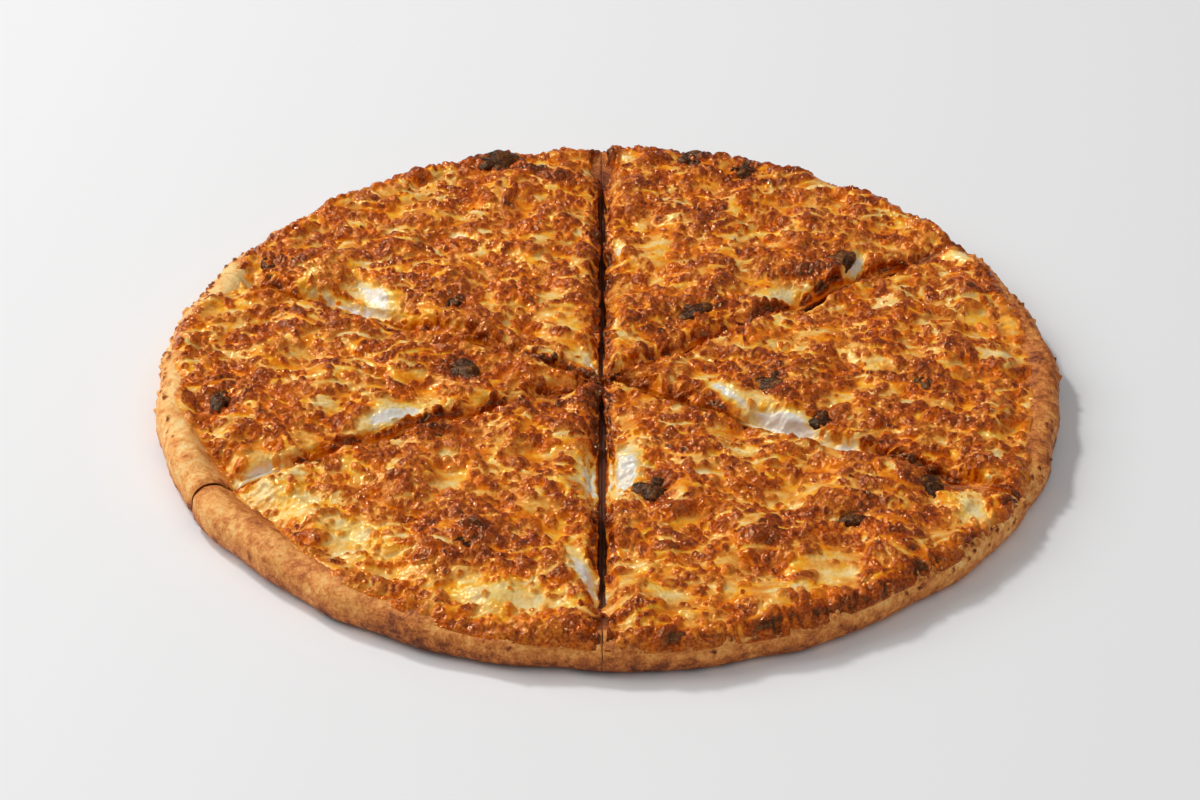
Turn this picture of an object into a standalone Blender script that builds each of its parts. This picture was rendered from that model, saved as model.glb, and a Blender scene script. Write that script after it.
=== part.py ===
"""A pan pizza on a flat surface, cut through into six slices that still lie together.

Each slice is a wedge of baked dough with a raised rim and a layer of melted cheese on it.
Slices of mushroom are set into the cheese. +Z is up, +X is right and +Y is away from the
viewer. The origin is on the underside, at the middle of the round outline.
"""

import math

import bmesh
import bpy

# Driving dimensions, in metres and degrees.
RADIUS = 0.1520
CUT_CENTRE = (-0.0023, -0.0030)
CUT_GAP = 0.0012
FIT_GAP = 0.0003

# The slices, each from one cut to the next, anticlockwise from +X.
SLICES = {
    "back_left": (90.0, 155.0),
    "left": (155.0, 207.0),
    "front_left": (207.0, 270.0),
    "front_right": (270.0, 332.0),
    "right": (332.0, 393.0),
    "back_right": (33.0, 90.0),
}

# The dough: its floor under the cheese, and the rolled rim round it.
FLOOR_HEIGHT = 0.0070
RIM_WIDTH = 0.0150
RIM_SLOPE = 0.0110
RIM_SQUARENESS = 0.78
RIM_STEPS = 5
UNDER_RIM_STEPS = 4
RIM_RIPPLE = 0.0006

# The cheese: its height at the middle of a slice, and how it drops beside a cut.
CHEESE_HEIGHT = 0.0148
CHEESE_SKIN = 0.0012
CENTRE_DIP = 0.0012
EDGE_DROP = 0.0042
EDGE_WIDTH = 0.0085
SWELL_HEIGHT = 0.0006
CHEESE_STEPS = 17
CHEESE_END_STEPS = 4
CHEESE_END_SLOPE = 0.0120

# How many strips a slice is divided into, from one cut to the other.
STRIPS = 18

# Round the outline, anticlockwise from +X: angle, radius as a share of RADIUS, height of the
# rim, and how far inside the outline the cheese ends.
RIM = [
    (0.0, 1.000, 0.0130, 0.0125),
    (15.0, 1.000, 0.0132, 0.0080),
    (33.0, 0.995, 0.0134, 0.0035),
    (60.0, 0.990, 0.0134, 0.0030),
    (90.0, 0.985, 0.0132, 0.0032),
    (120.0, 0.990, 0.0134, 0.0030),
    (148.0, 0.995, 0.0136, 0.0035),
    (158.0, 0.997, 0.0138, 0.0100),
    (170.0, 1.000, 0.0142, 0.0060),
    (185.0, 1.003, 0.0146, 0.0130),
    (206.0, 1.000, 0.0150, 0.0190),
    (225.0, 0.992, 0.0142, 0.0200),
    (245.0, 0.988, 0.0128, 0.0130),
    (260.0, 0.988, 0.0120, 0.0055),
    (280.0, 0.990, 0.0116, 0.0038),
    (310.0, 0.996, 0.0120, 0.0038),
    (332.0, 1.002, 0.0126, 0.0040),
    (345.0, 1.002, 0.0128, 0.0110),
]

# Where the cheese stands higher over toppings: x, y, radius and height.
MOUNDS = [
    (-0.118, 0.060, 0.0130, 0.0024),
    (-0.050, 0.040, 0.0170, 0.0016),
    (-0.038, 0.128, 0.0140, 0.0014),
    (0.070, 0.068, 0.0180, 0.0026),
    (0.026, 0.040, 0.0150, 0.0014),
    (0.042, 0.126, 0.0140, 0.0012),
    (0.034, -0.016, 0.0090, 0.0020),
    (0.060, -0.014, 0.0120, 0.0018),
    (0.104, -0.010, 0.0140, 0.0020),
    (0.112, 0.030, 0.0180, 0.0012),
    (0.090, -0.062, 0.0140, 0.0020),
    (0.020, -0.066, 0.0110, 0.0014),
    (0.078, -0.082, 0.0170, 0.0022),
    (-0.024, -0.020, 0.0080, 0.0016),
    (-0.056, -0.044, 0.0150, 0.0024),
    (-0.044, -0.094, 0.0170, 0.0026),
    (-0.112, -0.026, 0.0190, 0.0014),
    (-0.072, -0.004, 0.0150, 0.0016),
]

# Slow waves in the cheese: wavelength, direction and phase.
SWELLS = [
    (0.047, 20.0, 0.4),
    (0.038, 75.0, 2.1),
    (0.031, 130.0, 4.0),
    (0.026, 50.0, 5.2),
    (0.022, 165.0, 1.3),
]

# The mushroom slices that show: slice, x, y, height of the middle, width of the cap,
# turn about Z and tilt about the length.
MUSHROOM_THICKNESS = 0.0040
MUSHROOM_EDGE = 0.0009
MUSHROOMS = {
    "mushroom_back_rim_left": ("back_left", -0.0400, 0.1330, 0.0172, 0.0210, 12.0, 14.0),
    "mushroom_back_left_inner": ("back_left", -0.0545, 0.0400, 0.0148, 0.0150, 60.0, -12.0),
    "mushroom_back_left_outer": ("back_left", -0.1165, 0.0640, 0.0146, 0.0180, 105.0, 10.0),
    "mushroom_back_rim_middle": ("back_right", 0.0330, 0.1360, 0.0168, 0.0160, -12.0, 12.0),
    "mushroom_back_rim_right": ("back_right", 0.0510, 0.1300, 0.0166, 0.0150, -22.0, 12.0),
    "mushroom_back_right_outer": ("back_right", 0.0810, 0.0660, 0.0152, 0.0180, 250.0, 16.0),
    "mushroom_back_right_inner": ("back_right", 0.0300, 0.0360, 0.0146, 0.0160, 215.0, 12.0),
    "mushroom_right_inner": ("right", 0.0560, -0.0100, 0.0152, 0.0170, 165.0, -10.0),
    "mushroom_right_edge": ("right", 0.0700, -0.0300, 0.0140, 0.0130, 155.0, -8.0),
    "mushroom_right_outer": ("right", 0.1050, -0.0105, 0.0158, 0.0150, -80.0, 12.0),
    "mushroom_front_right_inner": ("front_right", 0.0140, -0.0700, 0.0140, 0.0150, 150.0, -14.0),
    "mushroom_front_right_outer": ("front_right", 0.1010, -0.0690, 0.0146, 0.0160, -60.0, 12.0),
    "mushroom_front_right_middle": ("front_right", 0.0790, -0.0860, 0.0152, 0.0170, 185.0, 14.0),
    "mushroom_front_left_tip": ("front_left", -0.0240, -0.0240, 0.0130, 0.0130, 20.0, 10.0),
    "mushroom_front_left_edge": ("front_left", -0.0560, -0.0410, 0.0150, 0.0120, 35.0, 12.0),
    "mushroom_front_left_middle": ("front_left", -0.0470, -0.0970, 0.0154, 0.0190, 158.0, 14.0),
    "mushroom_left_inner": ("left", -0.0500, -0.0030, 0.0138, 0.0160, 300.0, 18.0),
    "mushroom_left_outer": ("left", -0.1280, -0.0200, 0.0144, 0.0130, 70.0, 10.0),
}

# Finish of each kind of piece: colour and roughness.
DOUGH_LOOK = ((0.52, 0.26, 0.09), 0.75)
CHEESE_LOOK = ((0.55, 0.22, 0.05), 0.40)
MUSHROOM_LOOK = ((0.09, 0.06, 0.04), 0.45)


def smooth(share):
    """0 below 0, 1 above 1 and an even curve between."""
    share = min(max(share, 0.0), 1.0)
    return share * share * (3.0 - 2.0 * share)


def round_rim(angle, column):
    """A column of RIM at an angle in degrees, with a smooth curve between its rows."""
    angle %= 360.0
    rows = RIM + [(RIM[0][0] + 360.0,) + RIM[0][1:]]
    for low, high in zip(rows, rows[1:]):
        if low[0] <= angle <= high[0]:
            share = smooth((angle - low[0]) / (high[0] - low[0]))
            return low[column] + (high[column] - low[column]) * share
    raise ValueError(angle)


def ripple(angle, phase):
    """The slight unevenness of the rim round the outline."""
    turn = math.radians(angle)
    waves = math.sin(9 * turn + phase) + math.sin(17 * turn + 2.0 * phase) + math.sin(31 * turn)
    return RIM_RIPPLE * waves / 1.5


def outline_radius(angle):
    return RADIUS * round_rim(angle, 1) + ripple(angle, 0.7)


class Ray:
    """One straight line from the point of a slice out to its rim, seen from above."""

    def __init__(self, tip, direction):
        self.tip = tip
        self.step = (math.cos(direction), math.sin(direction))
        self.length = RADIUS
        for _ in range(12):
            x, y = self.at(self.length)
            angle = math.degrees(math.atan2(y, x))
            self.length *= outline_radius(angle) / math.hypot(x, y)
        x, y = self.at(self.length)
        self.angle = math.degrees(math.atan2(y, x))
        self.rim_height = round_rim(self.angle, 2) + ripple(self.angle, 2.9)
        self.cheese_end = self.length - round_rim(self.angle, 3)
        self.floor_end = self.length - RIM_WIDTH / 2 - RIM_SLOPE
        self.floor_end = min(self.floor_end, self.cheese_end - RIM_SLOPE / 2)

    def at(self, distance):
        return (
            self.tip[0] + self.step[0] * distance,
            self.tip[1] + self.step[1] * distance,
        )

    def dough_height(self, distance):
        """The upper side of the dough: floor, slope and top of the rim."""
        inside = max(self.length - distance, 0.0)
        half = RIM_WIDTH / 2
        if inside < half:
            share = 1.0 - inside / half
            arc = (1.0 - share ** (2 / RIM_SQUARENESS)) ** (RIM_SQUARENESS / 2)
            return self.rim_height / 2 * (1.0 + arc)
        down = smooth((inside - half) / RIM_SLOPE)
        return self.rim_height + (FLOOR_HEIGHT - self.rim_height) * down

    def under_cheese(self):
        """The upper side of the dough from the point of the slice to where the cheese ends."""
        distances = [0.0, self.floor_end * 0.5]
        span = self.cheese_end - self.floor_end
        for i in range(CHEESE_END_STEPS + 1):
            distances.append(self.floor_end + span * i / CHEESE_END_STEPS)
        return [(distance, self.dough_height(distance)) for distance in distances]


class Slice:
    """The plan of one slice: its point, its rays and its two cuts."""

    def __init__(self, start, end):
        self.start = math.radians(start)
        self.end = math.radians(end)
        middle = (self.start + self.end) / 2
        back = CUT_GAP / 2 / math.sin((self.end - self.start) / 2)
        self.tip = (
            CUT_CENTRE[0] + back * math.cos(middle),
            CUT_CENTRE[1] + back * math.sin(middle),
        )

    def rays(self, count):
        turn = (self.end - self.start) / count
        return [Ray(self.tip, self.start + turn * i) for i in range(count + 1)]

    def from_cut(self, x, y):
        """Distance from the nearer cut face."""
        x, y = x - self.tip[0], y - self.tip[1]
        first = y * math.cos(self.start) - x * math.sin(self.start)
        second = x * math.sin(self.end) - y * math.cos(self.end)
        return max(min(first, second), 0.0)

    def cheese_height(self, x, y):
        """The upper side of the cheese away from the rim."""
        height = CHEESE_HEIGHT
        height -= CENTRE_DIP * (1.0 - smooth(math.hypot(x, y) / (RADIUS / 2)))
        for wavelength, direction, phase in SWELLS:
            turn = math.radians(direction)
            along = x * math.cos(turn) + y * math.sin(turn)
            height += SWELL_HEIGHT * math.sin(math.tau * along / wavelength + phase)
        for middle_x, middle_y, radius, rise in MOUNDS:
            away = math.hypot(x - middle_x, y - middle_y) / radius
            height += rise * math.exp(-away * away)
        return height - EDGE_DROP * (1.0 - smooth(self.from_cut(x, y) / EDGE_WIDTH)) ** 1.5


def dough_section(ray):
    """The dough along a ray: underside, rim from bottom to top, and floor back to the point."""
    points = [(0.0, 0.0), (ray.length * 0.5, 0.0)]
    for i in range(UNDER_RIM_STEPS):
        turn = math.radians(90.0 * i / UNDER_RIM_STEPS)
        inside = RIM_WIDTH / 2 * (1.0 - math.sin(turn) ** RIM_SQUARENESS)
        height = ray.rim_height / 2 * (1.0 - math.cos(turn) ** RIM_SQUARENESS)
        points.append((ray.length - inside, height))
    bare = ray.length - ray.cheese_end
    for i in range(RIM_STEPS):
        inside = bare * (1.0 - math.cos(math.radians(90.0 * i / RIM_STEPS)))
        distance = ray.length - inside
        points.append((distance, ray.dough_height(distance)))
    return points + ray.under_cheese()[::-1]


def cheese_section(ray, plan):
    """The cheese along a ray: underside out to its edge, then its upper side back."""
    points = [(distance, height + FIT_GAP) for distance, height in ray.under_cheese()]
    ends = [distance for distance, _ in ray.under_cheese()[2:]]
    inner = [ray.floor_end * i / CHEESE_STEPS for i in range(CHEESE_STEPS)]
    for distance in reversed(inner + ends):
        x, y = ray.at(distance)
        skin = ray.dough_height(distance) + FIT_GAP + CHEESE_SKIN
        height = plan.cheese_height(x, y)
        near_end = smooth((ray.cheese_end - distance) / CHEESE_END_SLOPE)
        points.append((distance, skin + max(height - skin, 0.0) * near_end))
    return points


def finish(name, look):
    colour, roughness = look
    material = bpy.data.materials.new(name)
    material.use_nodes = True
    shader = material.node_tree.nodes["Principled BSDF"]
    shader.inputs["Base Color"].default_value = (*colour, 1.0)
    shader.inputs["Roughness"].default_value = roughness
    shader.inputs["Metallic"].default_value = 0.0
    return material


def new_object(name, mesh, material):
    mesh.materials.append(material)
    obj = bpy.data.objects.new(name, mesh)
    bpy.context.scene.collection.objects.link(obj)
    mesh.shade_smooth()
    mesh.set_sharp_from_angle(angle=math.radians(40))
    return obj


def loft(name, rays, sections, material):
    """A closed wedge through like sections, one for each ray, capped at both cuts."""
    mesh_maker = bmesh.new()
    rings = []
    for ray, section in zip(rays, sections):
        ring = []
        for distance, height in section:
            x, y = ray.at(distance)
            ring.append(mesh_maker.verts.new((x, y, height)))
        rings.append(ring)
    for ring, other in zip(rings, rings[1:]):
        for i in range(len(ring)):
            j = (i + 1) % len(ring)
            mesh_maker.faces.new((ring[i], ring[j], other[j], other[i]))
    mesh_maker.faces.new(reversed(rings[0]))
    mesh_maker.faces.new(rings[-1])
    bmesh.ops.remove_doubles(mesh_maker, verts=mesh_maker.verts, dist=1e-6)
    bmesh.ops.triangulate(mesh_maker, faces=mesh_maker.faces)
    bmesh.ops.recalc_face_normals(mesh_maker, faces=mesh_maker.faces)
    mesh = bpy.data.meshes.new(name)
    mesh_maker.to_mesh(mesh)
    mesh_maker.free()
    return new_object(name, mesh, material)


def mushroom_outline(width):
    """The face of a sliced mushroom, seen flat: a domed cap and a short stem."""
    cap = width / 2
    points = []
    for i in range(7):
        turn = math.pi * i / 6
        points.append((cap * math.cos(turn), 0.72 * cap * math.sin(turn)))
    stem = [(-0.70, -0.22), (-0.30, -0.12), (-0.24, -0.60), (0.24, -0.60), (0.30, -0.12), (0.70, -0.22)]
    points += [(cap * x, cap * y) for x, y in stem]
    return points


def offset_outline(points, distance):
    """The outline moved outwards by a distance, each side staying parallel to itself."""
    moved = []
    for i, (x, y) in enumerate(points):
        before = points[i - 1]
        after = points[(i + 1) % len(points)]
        first = math.atan2(y - before[1], x - before[0]) - math.pi / 2
        second = math.atan2(after[1] - y, after[0] - x) - math.pi / 2
        half_turn = math.remainder(second - first, math.tau) / 2
        reach = distance / math.cos(half_turn)
        middle = first + half_turn
        moved.append((x + reach * math.cos(middle), y + reach * math.sin(middle)))
    return moved


def mushroom_mesh(name, width, grow):
    """A slice of mushroom: its outline extruded, with eased edges."""
    mesh_maker = bmesh.new()
    half = MUSHROOM_THICKNESS / 2
    levels = (
        (-half - grow, grow - MUSHROOM_EDGE),
        (-half - grow + MUSHROOM_EDGE, grow),
        (half + grow - MUSHROOM_EDGE, grow),
        (half + grow, grow - MUSHROOM_EDGE),
    )
    rings = []
    for height, out in levels:
        outline = offset_outline(mushroom_outline(width), out)
        rings.append([mesh_maker.verts.new((x, y, height)) for x, y in outline])
    for ring, other in zip(rings, rings[1:]):
        for i in range(len(ring)):
            j = (i + 1) % len(ring)
            mesh_maker.faces.new((ring[i], ring[j], other[j], other[i]))
    mesh_maker.faces.new(reversed(rings[0]))
    mesh_maker.faces.new(rings[-1])
    bmesh.ops.recalc_face_normals(mesh_maker, faces=mesh_maker.faces)
    mesh = bpy.data.meshes.new(name)
    mesh_maker.to_mesh(mesh)
    mesh_maker.free()
    return mesh


def lay_mushroom(name, row, grow, material):
    _, x, y, height, width, turn, tilt = row
    mesh = mushroom_mesh(name, width, grow)
    obj = new_object(name, mesh, material)
    obj.location = (x, y, height)
    obj.rotation_euler = (math.radians(tilt), 0.0, math.radians(turn))
    return obj


def cut_pockets(cheese, rows, material):
    """Cuts a seat in the cheese for each mushroom, a little larger than the mushroom."""
    cutters = bpy.data.collections.new(cheese.name + "_pockets")
    bpy.context.scene.collection.children.link(cutters)
    for name, row in rows.items():
        cutter = lay_mushroom(name + "_pocket", row, FIT_GAP, material)
        bpy.context.scene.collection.objects.unlink(cutter)
        cutters.objects.link(cutter)
        cutter.hide_render = True
        cutter.display_type = "WIRE"
    modifier = cheese.modifiers.new("pockets", "BOOLEAN")
    modifier.operation = "DIFFERENCE"
    modifier.operand_type = "COLLECTION"
    modifier.collection = cutters
    modifier.solver = "EXACT"


def main():
    for obj in list(bpy.data.objects):
        bpy.data.objects.remove(obj)
    dough = finish("dough", DOUGH_LOOK)
    cheese = finish("cheese", CHEESE_LOOK)
    mushroom = finish("mushroom", MUSHROOM_LOOK)
    for name, (start, end) in SLICES.items():
        plan = Slice(start, end)
        rays = plan.rays(STRIPS)
        loft("crust_" + name, rays, [dough_section(ray) for ray in rays], dough)
        sections = [cheese_section(ray, plan) for ray in rays]
        layer = loft("cheese_" + name, rays, sections, cheese)
        rows = {k: row for k, row in MUSHROOMS.items() if row[0] == name}
        cut_pockets(layer, rows, mushroom)
    for name, row in MUSHROOMS.items():
        lay_mushroom(name, row, 0.0, mushroom)


main()
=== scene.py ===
import math

import bmesh
import bpy
import numpy as np
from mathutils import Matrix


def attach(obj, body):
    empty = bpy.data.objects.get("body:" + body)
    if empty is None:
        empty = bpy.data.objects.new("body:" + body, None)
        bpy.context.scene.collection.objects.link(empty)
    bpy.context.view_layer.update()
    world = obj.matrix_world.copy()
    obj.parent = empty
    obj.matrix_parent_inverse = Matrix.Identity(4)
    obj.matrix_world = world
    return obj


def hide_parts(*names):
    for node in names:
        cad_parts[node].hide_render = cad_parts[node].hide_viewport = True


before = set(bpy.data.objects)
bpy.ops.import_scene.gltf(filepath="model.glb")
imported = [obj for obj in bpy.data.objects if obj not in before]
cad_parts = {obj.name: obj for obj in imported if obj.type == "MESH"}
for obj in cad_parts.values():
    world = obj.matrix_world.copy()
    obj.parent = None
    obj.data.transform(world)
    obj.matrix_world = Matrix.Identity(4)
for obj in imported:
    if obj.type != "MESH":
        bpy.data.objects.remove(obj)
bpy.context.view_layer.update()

# The dough: six wedges of pan bread, risen and baked in an oiled pan, then cut apart.
# The rim is rolled and bare at the left and right, and thin under the cheese elsewhere.
# Each wedge is a grid wrapped round its section, with baked wrinkles as relief.

RADIUS = 0.1520
CUT_CENTRE = (-0.0023, -0.0030)
CHEESE_GAP = 0.0012
DOUGH_GAP = 0.0002
SLICES = {
    "back_left": (90.0, 155.0),
    "left": (155.0, 207.0),
    "front_left": (207.0, 270.0),
    "front_right": (270.0, 332.0),
    "right": (332.0, 393.0),
    "back_right": (33.0, 90.0),
}
FLOOR_HEIGHT = 0.0070
RIM_WIDTH = 0.0150
RIM_SLOPE = 0.0110
RIM_SQUARENESS = 0.78
RIM_RIPPLE = 0.0006
# Angle, radius as a share of RADIUS, height of the rim, and bare width inside the outline.
RIM = np.array([
    (0.0, 1.000, 0.0130, 0.0125),
    (15.0, 1.000, 0.0132, 0.0080),
    (33.0, 0.995, 0.0134, 0.0035),
    (60.0, 0.990, 0.0134, 0.0030),
    (90.0, 0.985, 0.0132, 0.0032),
    (120.0, 0.990, 0.0134, 0.0030),
    (148.0, 0.995, 0.0136, 0.0050),
    (158.0, 0.997, 0.0138, 0.0110),
    (170.0, 1.000, 0.0142, 0.0045),
    (185.0, 1.003, 0.0146, 0.0090),
    (206.0, 1.000, 0.0150, 0.0170),
    (217.0, 0.996, 0.0146, 0.0180),
    (228.0, 0.992, 0.0140, 0.0110),
    (237.0, 0.990, 0.0134, 0.0075),
    (248.0, 0.988, 0.0127, 0.0055),
    (262.0, 0.988, 0.0120, 0.0040),
    (280.0, 0.990, 0.0116, 0.0036),
    (310.0, 0.996, 0.0120, 0.0038),
    (332.0, 1.002, 0.0126, 0.0040),
    (345.0, 1.002, 0.0128, 0.0110),
    (360.0, 1.000, 0.0130, 0.0125),
])


def smooth(share):
    """0 below 0, 1 above 1 and an even curve between."""
    share = np.clip(share, 0.0, 1.0)
    return share * share * (3.0 - 2.0 * share)


def round_rim(degrees, column):
    """A column of RIM at angles in degrees."""
    degrees = np.mod(degrees, 360.0)
    row = np.clip(np.searchsorted(RIM[:, 0], degrees, side="right") - 1, 0, len(RIM) - 2)
    share = smooth((degrees - RIM[row, 0]) / (RIM[row + 1, 0] - RIM[row, 0]))
    return RIM[row, column] * (1.0 - share) + RIM[row + 1, column] * share


def ripple(degrees, phase):
    turn = np.radians(degrees)
    waves = np.sin(9 * turn + phase) + np.sin(17 * turn + 2.0 * phase) + np.sin(31 * turn)
    return RIM_RIPPLE * waves / 1.5


class Wedge:
    """The plan of one slice: its point, and straight rays from there to the outline."""

    def __init__(self, start, end, gap):
        self.start, self.end = math.radians(start), math.radians(end)
        middle = (self.start + self.end) / 2
        # the point lies back from where the cuts cross, so that both sides keep the gap
        back = gap / 2 / math.sin((self.end - self.start) / 2)
        self.tip = np.array([
            CUT_CENTRE[0] + back * math.cos(middle),
            CUT_CENTRE[1] + back * math.sin(middle),
        ])

    def length(self, direction):
        """How far the outline is from the point, along a direction, and its angle there."""
        far = np.full_like(direction, RADIUS)
        for _ in range(10):
            x = self.tip[0] + far * np.cos(direction)
            y = self.tip[1] + far * np.sin(direction)
            degrees = np.degrees(np.arctan2(y, x))
            outline = RADIUS * round_rim(degrees, 1) + ripple(degrees, 0.7)
            far = far * outline / np.hypot(x, y)
        return far, degrees

    def from_cut(self, x, y):
        """Distance from the nearer cut, the direction away from it and which cut it is."""
        x, y = x - self.tip[0], y - self.tip[1]
        first = y * math.cos(self.start) - x * math.sin(self.start)
        second = x * math.sin(self.end) - y * math.cos(self.end)
        nearer = first < second
        side = np.where(nearer, 1.0, -1.0)
        away_x = np.where(nearer, -math.sin(self.start), math.sin(self.end))
        away_y = np.where(nearer, math.cos(self.start), -math.cos(self.end))
        return np.maximum(np.minimum(first, second), 0.0), away_x, away_y, side


def rim_height(degrees):
    return round_rim(degrees, 2) + ripple(degrees, 2.9)


def dough_height(inside, degrees):
    """The upper side of the dough at a distance inside the outline."""
    inside = np.maximum(inside, 0.0)
    top = rim_height(degrees)
    half = RIM_WIDTH / 2
    share = np.clip(1.0 - inside / half, 0.0, 1.0)
    arc = (1.0 - share ** (2 / RIM_SQUARENESS)) ** (RIM_SQUARENESS / 2)
    slope = top + (FLOOR_HEIGHT - top) * smooth((inside - half) / RIM_SLOPE)
    return np.where(inside < half, top / 2 * (1.0 + arc), slope)


class Flow:
    """A value on its way through a node tree: sums written with it add Math nodes."""

    def __init__(self, tree, socket=None):
        self.tree = tree
        self.socket = socket

    def node(self, kind, values=None, output=0, stops=None, **settings):
        made = self.tree.nodes.new(kind)
        for key, value in settings.items():
            setattr(made, key, value)
        if stops:
            ramp = made.color_ramp
            while len(ramp.elements) < len(stops):
                ramp.elements.new(0.5)
            for element, (position, colour) in zip(ramp.elements, stops):
                element.position = position
                element.color = (*colour, 1.0)
        for key, value in (values or {}).items():
            if isinstance(value, Flow):
                self.tree.links.new(value.socket, made.inputs[key])
            else:
                made.inputs[key].default_value = value
        return Flow(self.tree, made.outputs[output])

    def maths(self, operation, first, second=0.0):
        return self.node("ShaderNodeMath", {0: first, 1: second}, operation=operation)

    def __add__(self, other):
        return self.maths("ADD", self, other)

    def __radd__(self, other):
        return self.maths("ADD", other, self)

    def __sub__(self, other):
        return self.maths("SUBTRACT", self, other)

    def __rsub__(self, other):
        return self.maths("SUBTRACT", other, self)

    def __mul__(self, other):
        return self.maths("MULTIPLY", self, other)

    def __rmul__(self, other):
        return self.maths("MULTIPLY", other, self)

    def __truediv__(self, other):
        return self.maths("DIVIDE", self, other)

    def __pow__(self, other):
        return self.maths("POWER", self, other)

    def __abs__(self):
        return self.maths("ABSOLUTE", self)

    def __gt__(self, other):
        return self.maths("GREATER_THAN", self, other)

    def most(self, other):
        return self.maths("MAXIMUM", self, other)

    def least(self, other):
        return self.maths("MINIMUM", self, other)

    def ease(self, low, high):
        """0 below low and 1 above high, with an even curve between."""
        ends = {"Value": self, "From Min": low, "From Max": high}
        return self.node("ShaderNodeMapRange", ends, interpolation_type="SMOOTHSTEP")

    def moved(self, other):
        """This vector plus another one."""
        return self.node("ShaderNodeVectorMath", {0: self, 1: other}, operation="ADD")

    def scaled(self, by):
        return self.node("ShaderNodeVectorMath", {0: self, 3: by}, operation="SCALE")

    def stretched(self, by):
        return self.node("ShaderNodeVectorMath", {0: self, 1: by}, operation="MULTIPLY")

    def part(self, axis):
        return self.node("ShaderNodeSeparateXYZ", {0: self}, output="XYZ".index(axis))

    def noise(self, size, detail=0.0, colour=False, rough=0.5):
        """Noise with lumps of a size, in the units of this vector."""
        values = {"Vector": self, "Scale": 1.0 / size, "Detail": detail, "Roughness": rough}
        return self.node("ShaderNodeTexNoise", values, output=1 if colour else 0)


def relief(name, build):
    """Geometry Nodes that move points and store values on them."""
    tree = bpy.data.node_groups.new(name, "GeometryNodeTree")
    for side in ("INPUT", "OUTPUT"):
        tree.interface.new_socket("Geometry", in_out=side, socket_type="NodeSocketGeometry")
    start = Flow(tree, tree.nodes.new("NodeGroupInput").outputs[0])
    millimetres = start.node("GeometryNodeInputPosition").scaled(1000.0)
    offset, stored = build(start, millimetres)
    shape = start.node("GeometryNodeSetPosition", {"Geometry": start, "Offset": offset})
    for key, value in stored.items():
        values = {"Geometry": shape, "Name": key, "Value": value}
        shape = start.node("GeometryNodeStoreNamedAttribute", values, data_type="FLOAT")
    end = tree.nodes.new("NodeGroupOutput")
    tree.links.new(shape.socket, end.inputs[0])
    return tree


def own_value(start, name):
    """A value that numpy has stored on the points."""
    values = {"Name": name}
    return start.node("GeometryNodeInputNamedAttribute", values, data_type="FLOAT")


def apply_relief(obj, tree):
    modifier = obj.modifiers.new("relief", "NODES")
    modifier.node_group = tree
    bpy.context.view_layer.objects.active = obj
    bpy.ops.object.modifier_apply(modifier="relief")


def read_points(obj):
    points = np.empty(len(obj.data.vertices) * 3)
    obj.data.vertices.foreach_get("co", points)
    return points.reshape(-1, 3)


def write_points(obj, points):
    obj.data.vertices.foreach_set("co", points.ravel())
    obj.data.update()


def store(obj, **values):
    for name, value in values.items():
        layer = obj.data.attributes.new(name, "FLOAT", "POINT")
        layer.data.foreach_set("value", np.ascontiguousarray(value, dtype=np.float32))


def start_mesh(adder, name, **settings):
    bpy.ops.object.select_all(action="DESELECT")
    adder(**settings)
    obj = bpy.context.object
    obj.name = name
    obj.data.name = name
    return obj


# Patches are given by middle, half length, half width, turn and strength.
# Where the bare rim stayed light:
PALE_CRUST = [
    (-0.1290, 0.0520, 0.0230, 0.0080, 63.0, 1.0),
    (-0.1410, -0.0300, 0.0280, 0.0080, 105.0, 0.45),
    (0.1180, -0.0780, 0.0180, 0.0090, 50.0, 0.8),
]
# Angle, the share of the rim's edge that has crumbs of burnt cheese on it, how much browner
# the rim baked there, and how much browner the edge of the cheese:
BAKE = np.array([
    (0.0, 0.30, 0.28, 0.10), (15.0, 0.50, 0.24, 0.14), (30.0, 0.30, 0.18, 0.10),
    (60.0, 0.25, 0.15, 0.10), (90.0, 0.30, 0.20, 0.20), (120.0, 0.30, 0.10, 0.10),
    (140.0, 0.75, 0.0, 0.10), (165.0, 0.95, -0.05, 0.10), (180.0, 0.80, -0.05, 0.0),
    (190.0, 0.30, 0.0, 0.0), (205.0, 0.05, 0.0, 0.0), (220.0, 0.05, 0.10, 0.0),
    (232.0, 0.05, 0.14, 0.0), (245.0, 0.05, 0.22, 0.18), (275.0, 0.10, 0.22, 0.25),
    (300.0, 0.20, 0.05, 0.34), (318.0, 0.60, 0.05, 0.30), (328.0, 0.95, 0.08, 0.20),
    (336.0, 0.50, 0.14, 0.10), (345.0, 0.25, 0.26, 0.05), (360.0, 0.30, 0.28, 0.10),
])


def patches(x, y, rows):
    """How strongly each point lies in the patches, fading out from their middles."""
    total = np.zeros_like(x)
    for middle_x, middle_y, long, wide, turn, strength in rows:
        turn = math.radians(turn)
        dx, dy = x - middle_x, y - middle_y
        along = (dx * math.cos(turn) + dy * math.sin(turn)) / long
        across = (dy * math.cos(turn) - dx * math.sin(turn)) / wide
        total = np.maximum(total, strength * np.exp(-(along ** 2 + across ** 2)))
    return total


DOUGH_ACROSS = 264
UNDER_POINTS = 6
LOW_ARC_POINTS = 18
RIM_POINTS = 40
FLOOR_POINTS = 6
TUCKED_UNDER = 0.0060
CREASED_CUT = 207.0
CREASED_REACH = 30.0
BROWNER = 2.2
CRUMBS_FROM = 0.50
CRUMBS_INSIDE = 0.0030
DOUGH_ROUND = UNDER_POINTS + LOW_ARC_POINTS + RIM_POINTS + FLOOR_POINTS


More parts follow.
